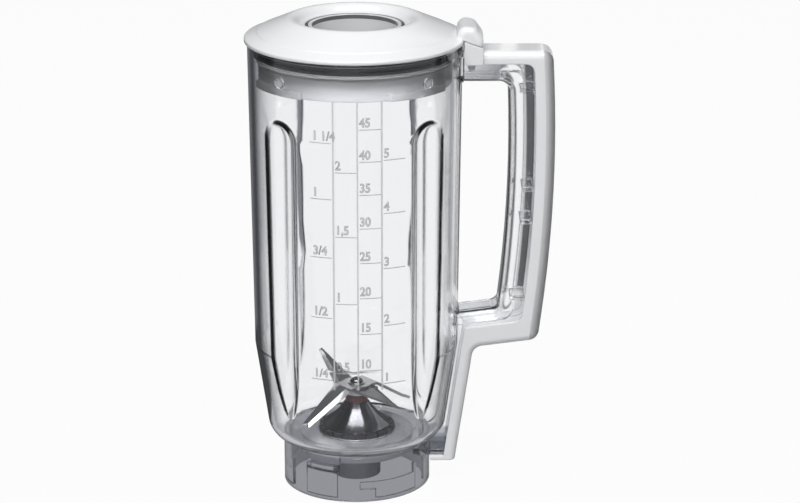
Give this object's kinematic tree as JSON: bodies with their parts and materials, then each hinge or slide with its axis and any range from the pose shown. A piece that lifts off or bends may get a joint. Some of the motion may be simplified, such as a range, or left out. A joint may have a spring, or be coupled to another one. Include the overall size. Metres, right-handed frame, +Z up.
{
  "type": "blender jar",
  "caption": "Clear fluted blender jar with a handle, a bayonet lid with a filler cup, and a blade unit that turns into its base ring.",
  "frame": {"origin": "on the jar's axis, at the lower edge of the base ring", "axes": "+Z up along the jar's axis, +X towards the handle, -Y towards the measuring scale"},
  "size_m": [0.1599, 0.1136, 0.2517],
  "materials": {
    "clear_plastic": "clear, lightly smoky, glossy",
    "white_plastic": "glossy white",
    "smoky_plastic": "smoky clear",
    "grey_plastic": "fine matt",
    "dark_plastic": "fine matt",
    "dark_rubber": "smooth rubber",
    "pale_rubber": "smooth silicone",
    "red_rubber": "smooth rubber",
    "polished_steel": "polished",
    "satin_steel": "ground satin",
    "bronze": "sintered"
  },
  "bodies": {
    "jar": {"jar_body": "clear_plastic", "handle_cover": "white_plastic"},
    "lid": {"lid": "white_plastic", "lid_seal": "dark_rubber", "filler_cup": "smoky_plastic"},
    "blade_unit": {"blade_carrier": "grey_plastic", "carrier_seal": "pale_rubber", "bearing_dome": "polished_steel", "shaft_seal": "red_rubber", "upper_bush": "bronze", "lower_bush": "bronze"},
    "rotor": {"drive_shaft": "satin_steel", "blade_collar": "satin_steel", "lower_blade": "satin_steel", "upper_blade": "satin_steel", "hub_washer": "satin_steel", "hub_nut": "satin_steel", "thrust_washer": "satin_steel", "retaining_ring": "satin_steel", "drive_coupling": "dark_plastic"}
  },
  "joints": [
    {"name": "lid_turn", "type": "hinge", "parent": "jar", "child": "lid", "pos_m": [0, 0, 0.24], "axis": [0, 0, 1], "range_deg": [0, 32]},
    {"name": "carrier_turn", "type": "hinge", "parent": "jar", "child": "blade_unit", "pos_m": [0, 0, 0.02], "axis": [0, 0, 1], "range_deg": [0, 40]},
    {"name": "blade_spin", "type": "hinge", "parent": "blade_unit", "child": "rotor", "pos_m": [0, 0, 0.045], "axis": [0, 0, 1], "continuous": true}
  ]
}
